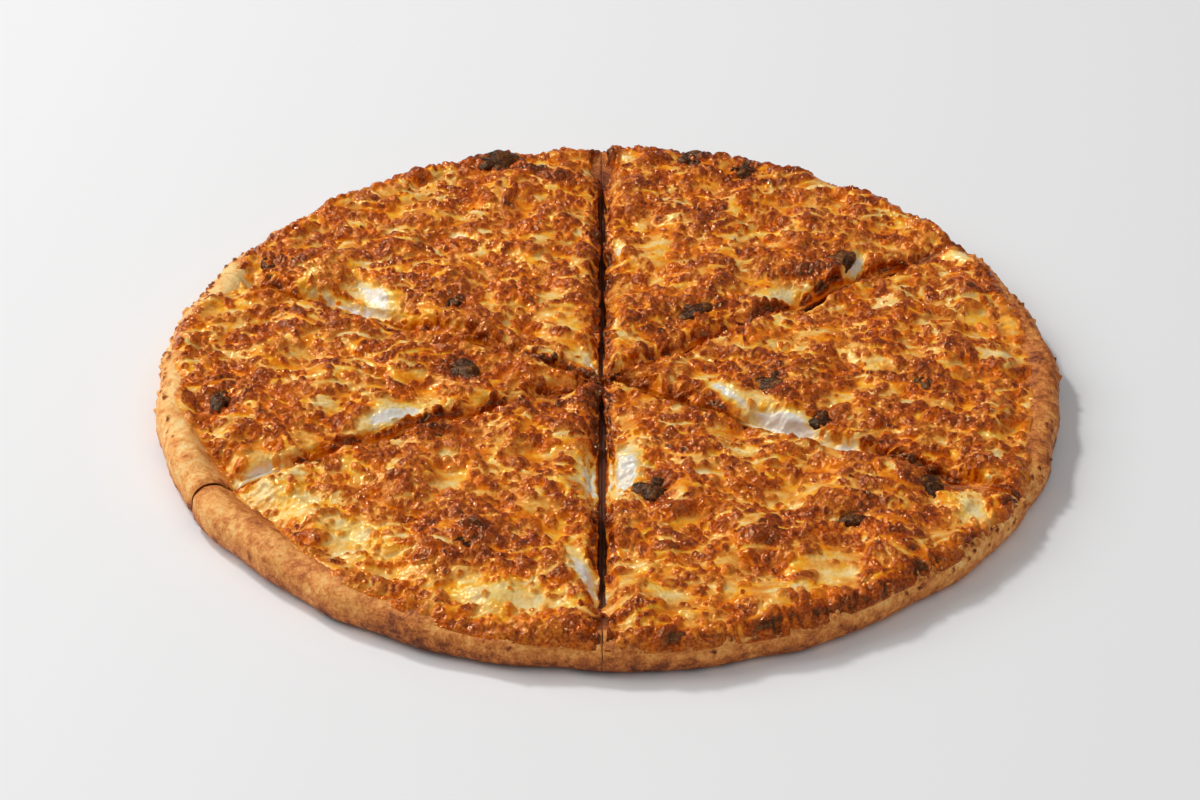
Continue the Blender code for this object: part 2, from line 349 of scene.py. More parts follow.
def dough_wedge(name, plan):
    """A grid wrapped round the wedge, then closed at the two cuts."""
    obj = start_mesh(
        bpy.ops.mesh.primitive_grid_add, name,
        x_subdivisions=DOUGH_ACROSS, y_subdivisions=DOUGH_ROUND - 1, size=1.0,
    )
    grid = read_points(obj)
    across = grid[:, 0] + 0.5
    step = np.rint((grid[:, 1] + 0.5) * (DOUGH_ROUND - 1)).astype(int)
    direction = plan.start + (plan.end - plan.start) * across
    far, degrees = plan.length(direction)
    top = rim_height(degrees)
    bare = round_rim(degrees, 3) + TUCKED_UNDER
    distance = np.zeros(len(grid))
    height = np.zeros(len(grid))
    # the underside, from the point of the slice outwards
    part = step < UNDER_POINTS
    distance[part] = (far[part] - RIM_WIDTH / 2) * step[part] / UNDER_POINTS
    # the lower half of the rim
    step = step - UNDER_POINTS
    part = (step >= 0) & (step < LOW_ARC_POINTS)
    turn = np.pi / 2 * step[part] / LOW_ARC_POINTS
    distance[part] = far[part] - RIM_WIDTH / 2 * (1.0 - np.sin(turn) ** RIM_SQUARENESS)
    height[part] = top[part] / 2 * (1.0 - np.cos(turn) ** RIM_SQUARENESS)
    # the upper half and the bare slope, down to just under the cheese
    step = step - LOW_ARC_POINTS
    part = (step >= 0) & (step < RIM_POINTS)
    share = step[part] / (RIM_POINTS - 1)
    inside = bare[part] * (0.25 * share + 0.75 * share ** 2)
    distance[part] = far[part] - inside
    height[part] = dough_height(inside, degrees[part])
    # the floor, back to the point
    step = step - RIM_POINTS
    part = step >= 0
    start = far[part] - bare[part]
    distance[part] = start * (1.0 - (step[part] + 1) / FLOOR_POINTS)
    height[part] = dough_height(far[part] - distance[part], degrees[part])
    points = np.empty_like(grid)
    points[:, 0] = plan.tip[0] + distance * np.cos(direction)
    points[:, 1] = plan.tip[1] + distance * np.sin(direction)
    points[:, 2] = height
    write_points(obj, points)
    edge = plan.from_cut(points[:, 0], points[:, 1])[0]
    pale = patches(points[:, 0], points[:, 1], PALE_CRUST)
    around = np.mod(degrees, 360.0)
    rolled = smooth((round_rim(degrees, 3) - 0.005) / 0.006)
    rolled *= np.abs(around - CREASED_CUT) < CREASED_REACH
    crumbs = np.interp(around, BAKE[:, 0], BAKE[:, 1])
    pale -= np.interp(around, BAKE[:, 0], BAKE[:, 2]) * BROWNER
    crumbs *= smooth((points[:, 2] / top - CRUMBS_FROM) / 0.15)
    crumbs *= 1.0 - smooth((far - distance - CRUMBS_INSIDE) / 0.0025)
    store(
        obj, bare=(far - distance) * 1000.0, edge=edge * 1000.0, rolled=rolled,
        pale=pale, crumbs=crumbs,
    )
    shell = bmesh.new()
    shell.from_mesh(obj.data)
    bmesh.ops.remove_doubles(shell, verts=shell.verts, dist=1e-6)
    # the two cut faces, which share the edge at the point
    tips = [vertex for vertex in shell.verts if math.dist(vertex.co.xy, plan.tip) < 1e-5]
    tips.sort(key=lambda vertex: vertex.co.z)
    shell.edges.new((tips[0], tips[-1]))
    open_edges = [edge for edge in shell.edges if len(edge.link_faces) < 2]
    bmesh.ops.holes_fill(shell, edges=open_edges, sides=0)
    bmesh.ops.recalc_face_normals(shell, faces=shell.faces)
    shell.to_mesh(obj.data)
    shell.free()
    return obj


CRUMB_SIZE = 2.5
CRUMB_RISE = 1.1


def dough_relief(start, mm):
    """Lumps, wrinkles and burnt crumbs, in millimetres, and how dark the crust is from the oven,
    with painted shade low on the rim, in the crease by one cut and on the dough beneath the
    cheese.
    """
    lumps = mm.noise(13.0, 2.0) - 0.5
    wrinkles = mm.stretched((1.0, 1.0, 1.4)).noise(2.8, 4.0, rough=0.7) - 0.5
    bare = own_value(start, "bare")
    shoulder = (1.0 - own_value(start, "edge").ease(0.0, 4.0)) * own_value(start, "rolled")
    skin = (1.0 - bare.ease(24.0, 30.0)) * mm.part("Z").ease(0.2, 2.5)
    cell = {"Vector": mm.moved(mm.noise(3.0, colour=True).scaled(1.5)), "Scale": 1.0 / CRUMB_SIZE}
    away, draw = (start.node("ShaderNodeTexVoronoi", cell, output=output) for output in range(2))
    kept = (own_value(start, "crumbs") - draw.part("X")).ease(0.0, 0.10)
    crumb = (1.0 - away.ease(0.10, 0.55)) * kept
    rise = (lumps * 1.8 + wrinkles * 1.2 - shoulder * shoulder * 1.0) * skin + crumb * CRUMB_RISE
    outward = start.node("GeometryNodeInputNormal").scaled(rise * 0.001)
    inner_edge = bare.ease(4.0, 13.0) * (1.0 - bare.ease(16.0, 24.0))
    # painted shade: the crust is darker towards the floor, low on the rim wall where it lies in
    # shade
    painted_shade_low = 1.0 - mm.part("Z").ease(1.0, 10.5)
    # painted shade: the dough beneath the cheese is dark, as it shows only deep in the cuts
    painted_shade_under_cheese = bare.ease(19.0, 22.0)
    # painted shade: the shoulder term darkens the crease where the rim dips beside one cut
    shade = 0.30 + lumps * 0.8 + wrinkles * 1.0 + inner_edge * 0.16 + shoulder * 0.25
    shade = shade + painted_shade_low * 0.34 + painted_shade_under_cheese * 0.6 - own_value(start, "pale") * 0.45
    shade = shade + (0.80 + draw.part("Y") * 0.2 - shade) * crumb.ease(0.0, 0.6)
    return outward, {"baked_and_shade": shade}


bread_relief = relief("bread_relief", dough_relief)


def principled(name, colour, roughness):
    material = bpy.data.materials.new(name)
    material.use_nodes = True
    shader = material.node_tree.nodes["Principled BSDF"]
    shader.inputs["Base Color"].default_value = (*colour, 1.0)
    shader.inputs["Roughness"].default_value = roughness
    return material, shader


def feed(shader, **links):
    for name, value in links.items():
        tree = shader.id_data
        tree.links.new(value.socket, shader.inputs[name.replace("_", " ")])


def srgb(red, green, blue):
    """A colour given as it looks on a screen, 0 to 255."""
    values = []
    for value in (red, green, blue):
        value /= 255.0
        values.append(value / 12.92 if value < 0.04045 else ((value + 0.055) / 1.055) ** 2.4)
    return tuple(values)


def bump(flow, height, depth, strength=1.0):
    values = {"Height": height, "Distance": depth, "Strength": strength}
    return flow.node("ShaderNodeBump", values)


bread, shader = principled("baked_dough", srgb(205, 145, 85), 0.7)
flow = Flow(bread.node_tree)
mm = flow.node("ShaderNodeTexCoord", output=3).scaled(1000.0)
# the crust's tone from the oven, with the painted shade from its relief
baked_and_shade = flow.node("ShaderNodeAttribute", output=2, attribute_name="baked_and_shade")
grain = mm.noise(0.9, 4.0, rough=0.7)
spots = mm.noise(4.0, 3.0, rough=0.6)
shade = baked_and_shade + (grain - 0.5) * 0.8 + (spots - 0.5) * 0.9
stops = [
    (0.0, srgb(252, 212, 140)),
    (0.30, srgb(244, 170, 88)),
    (0.55, srgb(210, 122, 52)),
    (0.80, srgb(146, 70, 26)),
    (1.0, srgb(84, 34, 12)),
]
colour = flow.node("ShaderNodeValToRGB", {0: shade}, stops=stops)
feed(shader, Base_Color=colour, Roughness=0.62 + (grain - 0.5) * 0.3,
     Normal=bump(flow, mm.noise(1.0, 4.0, rough=0.7), 0.0004, 0.9))
shader.inputs["Specular Tint"].default_value = (1.0, 0.80, 0.60, 1.0)
shader.inputs["Subsurface Weight"].default_value = 0.12
shader.inputs["Subsurface Radius"].default_value = (1.0, 0.45, 0.2)
shader.inputs["Subsurface Scale"].default_value = 0.002

for name, (start, end) in SLICES.items():
    piece = dough_wedge("baked_dough_" + name, Wedge(start, end, DOUGH_GAP))
    apply_relief(piece, bread_relief)
    piece.data.materials.clear()
    piece.data.materials.append(bread)
    piece.data.shade_smooth()
    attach(piece, "root")
    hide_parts("crust_" + name)

# The mushrooms: slices across the cap and stem, cooked brown and wrinkled on the dough and
# held in the cheese. Each is a flattened ball drawn out to the outline of a cut mushroom.

MUSHROOM_THICKNESS = 0.0040
MUSHROOM_SINK = 0.0015
MUSHROOM_SEGMENTS = 72
MUSHROOM_RINGS = 28
FULLNESS = 0.7
# Slice name: x, y and height of the middle, width of the cap, turn and tilt in degrees.
MUSHROOMS = {
    "back_rim_left": (-0.0400, 0.1330, 0.0160, 0.0210, 12, 14),
    "back_left_inner": (-0.0545, 0.0400, 0.0148, 0.0150, 60, -12),
    "back_left_outer": (-0.1165, 0.0640, 0.0146, 0.0180, 105, 10),
    "back_rim_middle": (0.0330, 0.1360, 0.0154, 0.0160, -12, 12),
    "back_rim_right": (0.0510, 0.1300, 0.0154, 0.0150, -22, 12),
    "back_right_outer": (0.0810, 0.0660, 0.0158, 0.0180, 250, 16),
    "back_right_inner": (0.0300, 0.0360, 0.0146, 0.0160, 215, 12),
    "right_inner": (0.0560, -0.0100, 0.0152, 0.0170, 165, -10),
    "right_edge": (0.0700, -0.0300, 0.0140, 0.0130, 155, -8),
    "right_outer": (0.1050, -0.0105, 0.0158, 0.0150, -80, 12),
    "front_right_inner": (0.0140, -0.0700, 0.0146, 0.0150, 150, -14),
    "front_right_outer": (0.1010, -0.0690, 0.0146, 0.0160, -60, 12),
    "front_right_middle": (0.0790, -0.0860, 0.0152, 0.0170, 185, 14),
    "front_left_tip": (-0.0240, -0.0240, 0.0130, 0.0130, 20, 10),
    "front_left_edge": (-0.0560, -0.0410, 0.0150, 0.0120, 35, 12),
    "front_left_middle": (-0.0470, -0.0970, 0.0154, 0.0190, 158, 14),
    "left_inner": (-0.0500, -0.0030, 0.0150, 0.0160, 300, 18),
    "left_outer": (-0.1280, -0.0200, 0.0144, 0.0130, 70, 10),
}
CAP_DEPTH = 0.72
# Corners of the stem as shares of half the cap's width.
STEM = [
    (-0.70, -0.22), (-0.30, -0.12), (-0.24, -0.60), (0.24, -0.60), (0.30, -0.12), (0.70, -0.22),
]
CURL = 0.32


def mushroom_reach(turn):
    """How far the outline is from the middle, as a share of half the cap's width."""
    dome = [(math.cos(a), CAP_DEPTH * math.sin(a)) for a in np.linspace(0.0, math.pi, 24)]
    corners = np.array(dome + STEM)
    angles = np.arctan2(corners[:, 1], corners[:, 0])
    order = np.argsort(angles)
    lengths = np.hypot(corners[:, 0], corners[:, 1])[order]
    return np.interp(turn, angles[order], lengths, period=math.tau)


def mushroom_relief(start, mm):
    """Lumps and wrinkles, and how dark the slice has cooked."""
    tone = mm.noise(5.0, 2.0) - 0.5
    wrinkle = mm.noise(1.5, 3.0, rough=0.6) - 0.5
    rise = (tone * 2.4 + wrinkle * 0.6) * 0.001
    return start.node("GeometryNodeInputNormal").scaled(rise), {"cooked": 0.5 + tone + wrinkle}


mushroom_wrinkles = relief("mushroom_wrinkles", mushroom_relief)

mushroom, shader = principled("cooked_mushroom", srgb(70, 48, 32), 0.4)
flow = Flow(mushroom.node_tree)
mm = flow.node("ShaderNodeTexCoord", output=3).scaled(1000.0)
cooked = flow.node("ShaderNodeAttribute", output=2, attribute_name="cooked")
specks = mm.noise(0.9, 3.0, rough=0.7) - 0.5
tone = cooked + specks * 0.7
stops = [
    (0.15, srgb(20, 8, 3)),
    (0.42, srgb(48, 22, 8)),
    (0.60, srgb(92, 46, 16)),
    (0.78, srgb(132, 84, 36)),
    (0.95, srgb(164, 136, 94)),
]
colour = flow.node("ShaderNodeValToRGB", {0: tone}, stops=stops)
feed(shader, Base_Color=colour, Roughness=(0.24 + specks * 0.4).most(0.10),
     Normal=bump(flow, mm.noise(0.7, 3.0), 0.0004, 0.8))
shader.inputs["Specular IOR Level"].default_value = 0.3
shader.inputs["Specular Tint"].default_value = (1.0, 0.65, 0.35, 1.0)

for name, (x, y, height, width, turn, tilt) in MUSHROOMS.items():
    piece = start_mesh(
        bpy.ops.mesh.primitive_uv_sphere_add, "cooked_mushroom_" + name,
        segments=MUSHROOM_SEGMENTS, ring_count=MUSHROOM_RINGS, radius=1.0,
    )
    ball = read_points(piece)
    around = np.arctan2(ball[:, 1], ball[:, 0])
    flat_out = np.hypot(ball[:, 0], ball[:, 1]) ** FULLNESS * mushroom_reach(around) * width / 2
    points = np.stack([
        flat_out * np.cos(around),
        flat_out * np.sin(around),
        np.sign(ball[:, 2]) * np.abs(ball[:, 2]) ** FULLNESS * MUSHROOM_THICKNESS / 2,
    ], axis=1)
    # the slice has curled while it cooked
    points[:, 2] -= CURL * points[:, 0] ** 2 / width
    lean, spin = math.radians(tilt), math.radians(turn)
    leaning = np.array([
        (1.0, 0.0, 0.0),
        (0.0, math.cos(lean), -math.sin(lean)),
        (0.0, math.sin(lean), math.cos(lean)),
    ])
    turning = np.array([
        (math.cos(spin), -math.sin(spin), 0.0),
        (math.sin(spin), math.cos(spin), 0.0),
        (0.0, 0.0, 1.0),
    ])
    points = points @ (turning @ leaning).T + (x, y, height - MUSHROOM_SINK)
    write_points(piece, points)
    apply_relief(piece, mushroom_wrinkles)
    piece.data.materials.clear()
    piece.data.materials.append(mushroom)
    piece.data.shade_smooth()
    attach(piece, "root")
    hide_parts("mushroom_" + name)

# The cheese: a thick layer of melted shreds over the toppings, browned in blisters where
# it stood highest and cream where it lay low. It runs through to the cuts, where it has
# slumped. Each slice is a finely divided triangle, bulged out to the rim.

CHEESE_HEIGHT = 0.0142
CENTRE_DIP = 0.0012
EDGE_DROP = 0.0034
EDGE_WIDTH = 0.0060
SWELL_HEIGHT = 0.0006
END_SLOPE = 0.0120
# Mounds over the toppings: x and y of the middle, radius and height.
MOUNDS = [
    (-0.118, 0.060, 0.0130, 0.0024),
    (-0.050, 0.040, 0.0170, 0.0016),
    (-0.038, 0.128, 0.0140, 0.0014),
    (0.070, 0.068, 0.0180, 0.0026),
    (0.026, 0.040, 0.0150, 0.0014),
    (0.042, 0.126, 0.0140, 0.0012),
    (0.034, -0.016, 0.0090, 0.0020),
    (0.060, -0.014, 0.0120, 0.0018),
    (0.104, -0.010, 0.0140, 0.0020),
    (0.112, 0.030, 0.0180, 0.0012),
    (0.090, -0.062, 0.0140, 0.0020),
    (0.020, -0.066, 0.0110, 0.0014),
    (0.078, -0.082, 0.0170, 0.0022),
    (-0.024, -0.020, 0.0080, 0.0016),
    (-0.056, -0.044, 0.0150, 0.0024),
    (-0.044, -0.094, 0.0170, 0.0026),
    (-0.112, -0.026, 0.0190, 0.0014),
    (-0.072, -0.004, 0.0150, 0.0016),
]
# Slow waves: length, direction in degrees and phase.
SWELLS = [
    (0.047, 20.0, 0.4),
    (0.038, 75.0, 2.1),
    (0.031, 130.0, 4.0),
    (0.026, 50.0, 5.2),
    (0.022, 165.0, 1.3),
]
# Where the cheese stayed pale, most of it torn open beside a cut:
PALE = [
    (-0.0815, 0.0450, 0.0165, 0.0060, -54.0, 1.0),
    (-0.0880, 0.0315, 0.0160, 0.0020, -33.0, 0.9),
    (-0.0900, 0.0415, 0.0270, 0.0035, -25.0, 0.9),
    (-0.0710, -0.0290, 0.0190, 0.0055, 31.0, 1.0),
    (-0.1130, -0.0570, 0.0150, 0.0050, 30.0, 0.9),
    (-0.1030, -0.0740, 0.0250, 0.0135, -40.0, 0.70),
    (-0.0780, -0.0960, 0.0240, 0.0110, -38.0, 0.70),
    (-0.0340, -0.1260, 0.0280, 0.0125, -8.0, 0.64),
    (-0.1270, 0.0560, 0.0200, 0.0065, 63.0, 0.50),
    (-0.0055, -0.0620, 0.0170, 0.0068, 90.0, 1.0),
    (-0.0075, -0.1150, 0.0160, 0.0052, -65.0, 1.0),
    (0.0050, -0.0600, 0.0200, 0.0090, 84.0, 1.0),
    (-0.0065, 0.0085, 0.0080, 0.0040, -35.0, 0.9),
    (0.0035, 0.0740, 0.0090, 0.0025, 90.0, 0.9),
    (0.0400, -0.0180, 0.0160, 0.0034, -42.0, 0.95),
    (0.0580, -0.0310, 0.0190, 0.0062, -32.0, 1.1),
    (0.0770, -0.0450, 0.0110, 0.0050, -28.0, 0.95),
    (0.0874, 0.0640, 0.0110, 0.0036, 70.0, 1.0),
    (0.0620, 0.0470, 0.0120, 0.0055, 24.0, 0.75),
    (0.0450, -0.0500, 0.0120, 0.0018, -12.0, 0.8),
    (0.0300, -0.0630, 0.0080, 0.0016, 0.0, 0.8),
    (0.0560, -0.0800, 0.0100, 0.0032, -20.0, 0.7),
    (0.0600, -0.1230, 0.0080, 0.0045, 10.0, 0.7),
    (0.0750, -0.1140, 0.0065, 0.0040, 20.0, 0.7),
    (0.1132, -0.0798, 0.0180, 0.0080, -45.0, 0.70),
    (-0.0530, 0.0840, 0.0080, 0.0022, -30.0, 0.9),
    (-0.0240, 0.1340, 0.0080, 0.0030, 0.0, 0.7),
]
# Where it browned most, beside mushrooms and on high edges, and one row of painted shade along
# the front cut:
DARK = [
    (0.0800, 0.0660, 0.0140, 0.0060, 60.0, 0.35),
    (0.0300, 0.0330, 0.0160, 0.0060, 20.0, 0.35),
    (-0.1200, 0.0600, 0.0120, 0.0060, -60.0, 0.30),
    (-0.0560, 0.0420, 0.0120, 0.0080, 20.0, 0.22),
    (-0.0460, -0.0020, 0.0180, 0.0080, -20.0, 0.28),
    (-0.0300, -0.0240, 0.0140, 0.0050, 25.0, 0.25),
    (-0.0500, -0.0960, 0.0180, 0.0070, -15.0, 0.28),
    (0.0780, -0.0860, 0.0240, 0.0035, 8.0, 0.35),
    # painted shade in the gap of the front cut
    (-0.0050, -0.0450, 0.0100, 0.0035, 90.0, 0.35),
    (0.0360, -0.0205, 0.0075, 0.0045, -20.0, 0.35),
]
# Smooth blisters and other places with hardly any small blisters:
SMOOTH = [
    (0.0360, -0.0200, 0.0100, 0.0060, -20.0, 1.0),
    (-0.1270, 0.0560, 0.0210, 0.0070, 63.0, 1.0),
    (-0.1030, -0.0740, 0.0200, 0.0090, -40.0, 0.5),
    (0.1080, -0.0900, 0.0200, 0.0070, 40.0, 0.7),
    (0.0400, -0.1280, 0.0260, 0.0070, 8.0, 0.6),
    (0.1000, 0.0500, 0.0200, 0.0100, 20.0, 0.5),
    (-0.0900, -0.0100, 0.0160, 0.0060, 10.0, 0.6),
]
# Where the cut stands widest open:
OPEN = [
    (-0.0020, -0.0620, 0.0300, 0.0070, 90.0, 0.55),
    (-0.0020, 0.0800, 0.0300, 0.0050, 90.0, 0.35),
    (-0.0860, 0.0360, 0.0420, 0.0060, -25.0, 0.9),
    (0.0780, 0.0480, 0.0250, 0.0050, 33.0, 0.8),
    (-0.0750, -0.0390, 0.0350, 0.0060, 27.0, 0.9),
    (0.0750, -0.0430, 0.0380, 0.0060, -28.0, 0.9),
    (0.1080, -0.0610, 0.0200, 0.0060, -28.0, 0.9),
]
SHEET_CUTS = (19, 20)
WALL_STEPS = 6
PALE_DIP = 0.0030
PALE_WIDTH = 0.0120
END_TUCK = 0.0002
THIN_CHEESE = 0.0018
THIN_WIDTH = 0.0060
UNDERSIDE_GAP = 0.0003
OVER_RIM = 0.0028
LEAST_BARE = 0.0008
MUSHROOM_DIP = 0.0009
# How far in front of its middle the bared part of a mushroom lies, and the bared and
# browned places about it as shares of its width:
BARED_IN_FRONT = 0.002
BARED_LONG, BARED_WIDE, BARED_SMOOTHNESS = 0.42, 0.30, 0.6
BROWNED_LONG, BROWNED_WIDE, BROWNED = 0.8, 0.6, 0.45


def cheese_height(x, y, from_cut):
    """The upper side of the cheese before its ends thin out to the rim."""
    height = CHEESE_HEIGHT - CENTRE_DIP * (1.0 - smooth(np.hypot(x, y) / (RADIUS / 2)))
    for wavelength, direction, phase in SWELLS:
        turn = math.radians(direction)
        along = x * math.cos(turn) + y * math.sin(turn)
        height += SWELL_HEIGHT * np.sin(math.tau * along / wavelength + phase)
    for middle_x, middle_y, radius, rise in MOUNDS:
        away = np.hypot(x - middle_x, y - middle_y) / radius
        height += rise * np.exp(-away * away)
    return height - EDGE_DROP * (1.0 - smooth(from_cut / EDGE_WIDTH)) ** 1.5


def cheese_sheet(name):
    """A flat triangle in even small triangles, with its edge drawn down in steps."""
    sheet = start_mesh(
        bpy.ops.mesh.primitive_circle_add, name, vertices=3, radius=1.0, fill_type="NGON"
    )
    bpy.ops.object.mode_set(mode="EDIT")
    for cuts in SHEET_CUTS:
        bpy.ops.mesh.subdivide(number_cuts=cuts)
    bpy.ops.mesh.select_mode(type="EDGE")
    bpy.ops.mesh.select_all(action="DESELECT")
    bpy.ops.mesh.select_non_manifold(extend=False, use_wire=False, use_boundary=True,
                                     use_multi_face=False, use_non_contiguous=False,
                                     use_verts=False)
    for _ in range(WALL_STEPS):
        bpy.ops.mesh.extrude_edges_move(TRANSFORM_OT_translate={"value": (0.0, 0.0, -1.0)})
    bpy.ops.mesh.edge_face_add()
    bpy.ops.object.mode_set(mode="OBJECT")
    return sheet


def lay_cheese(sheet, plan):
    """Spreads the triangle over a slice, lays it on the dough and marks what lies where."""
    flat = read_points(sheet)
    third = math.sin(math.tau / 3)
    corners = np.array([[0.0, 1.0], [third, -0.5], [-third, -0.5]])
    spread = np.linalg.inv(np.array([corners[1] - corners[0], corners[2] - corners[0]]).T)
    shares = (flat[:, :2] - corners[0]) @ spread.T
    out = np.clip(shares.sum(axis=1), 1e-6, 1.0)
    turn = np.clip(shares[:, 0] / out, 0.0, 1.0)
    sides = np.array([plan.start, plan.end])
    ends = plan.tip + RADIUS * np.stack([np.cos(sides), np.sin(sides)], axis=1)
    chord = ends[0] + (ends[1] - ends[0]) * turn[:, None] - plan.tip
    direction = np.arctan2(chord[:, 1], chord[:, 0])
    far, degrees = plan.length(direction)
    reach = far - np.maximum(round_rim(degrees, 3) - OVER_RIM, LEAST_BARE)
    distance = reach * out
    x = plan.tip[0] + distance * np.cos(direction)
    y = plan.tip[1] + distance * np.sin(direction)
    from_cut, away_x, away_y, side = plan.from_cut(x, y)
    inside = far - distance
    floor = dough_height(inside, degrees)
    end = reach - distance
    skin = floor - END_TUCK + THIN_CHEESE * smooth(end / THIN_WIDTH)
    toast = np.interp(degrees % 360.0, BAKE[:, 0], BAKE[:, 3])
    pale = patches(x, y, PALE)
    top = cheese_height(x, y, from_cut) - PALE_DIP * pale * (1.0 - smooth(from_cut / PALE_WIDTH))
    shown = patches(x, y, [
        (row[0], row[1] - BARED_IN_FRONT, BARED_LONG * row[3], BARED_WIDE * row[3], row[4], 1.0)
        for row in MUSHROOMS.values()
    ])
    darker_places = DARK + [
        (row[0], row[1], BROWNED_LONG * row[3], BROWNED_WIDE * row[3], row[4], BROWNED)
        for row in MUSHROOMS.values()
    ]
    top -= MUSHROOM_DIP * shown
    top = skin + np.maximum(top - skin, 0.0) * smooth(end / END_SLOPE)
    depth = np.clip(-flat[:, 2] / WALL_STEPS, 0.0, 1.0)
    points = np.stack([x, y, top + (FLOOR_HEIGHT + UNDERSIDE_GAP - top) * depth], axis=1)
    write_points(sheet, points)
    store(
        sheet, depth=depth, edge=from_cut * 1000.0, end=end * 1000.0, inside=inside * 1000.0,
        away_x=away_x, away_y=away_y, side=side, pale=pale, toast=toast,
        dark=patches(x, y, darker_places), open=patches(x, y, OPEN),
        smooth=np.maximum(patches(x, y, SMOOTH), BARED_SMOOTHNESS * shown),
    )


def cheese_cover(place):
    """How thick the browned blisters stand, -0.5 to 0.5, and where a bare strand runs."""
    long = place.stretched((0.58, 1.0, 1.0))
    patchy = long.moved((7.0, 80.0, 0.0)).noise(6.4, 2.0, rough=0.6) - 0.5
    broad = place.moved((40.0, 11.0, 0.0)).noise(24.0, 1.0) - 0.5
    fold = abs(long.noise(13.0, 1.0) - 0.5) * 5.0
    crease = abs(long.moved((90.0, 50.0, 5.0)).noise(8.0, 0.0) - 0.5) * 5.0
    strand = (1.0 - fold.ease(0.0, 0.34)) * (patchy + broad).ease(-0.10, 0.12)
    strand = strand.most((1.0 - crease.ease(0.0, 0.32)) * (broad - patchy).ease(0.02, 0.16))
    return patchy * 1.3 + broad * 1.1, strand


# Blisters by size in millimetres, share, height and place of the pattern.
BLISTERS = [
    (7.0, 0.30, 0.44, 0.0),
    (4.8, 0.68, 0.64, 31.0),
    (3.4, 0.90, 0.78, 67.0),
    (2.3, 0.66, 0.66, 113.0),
]
POPPED_SHARE = 0.20


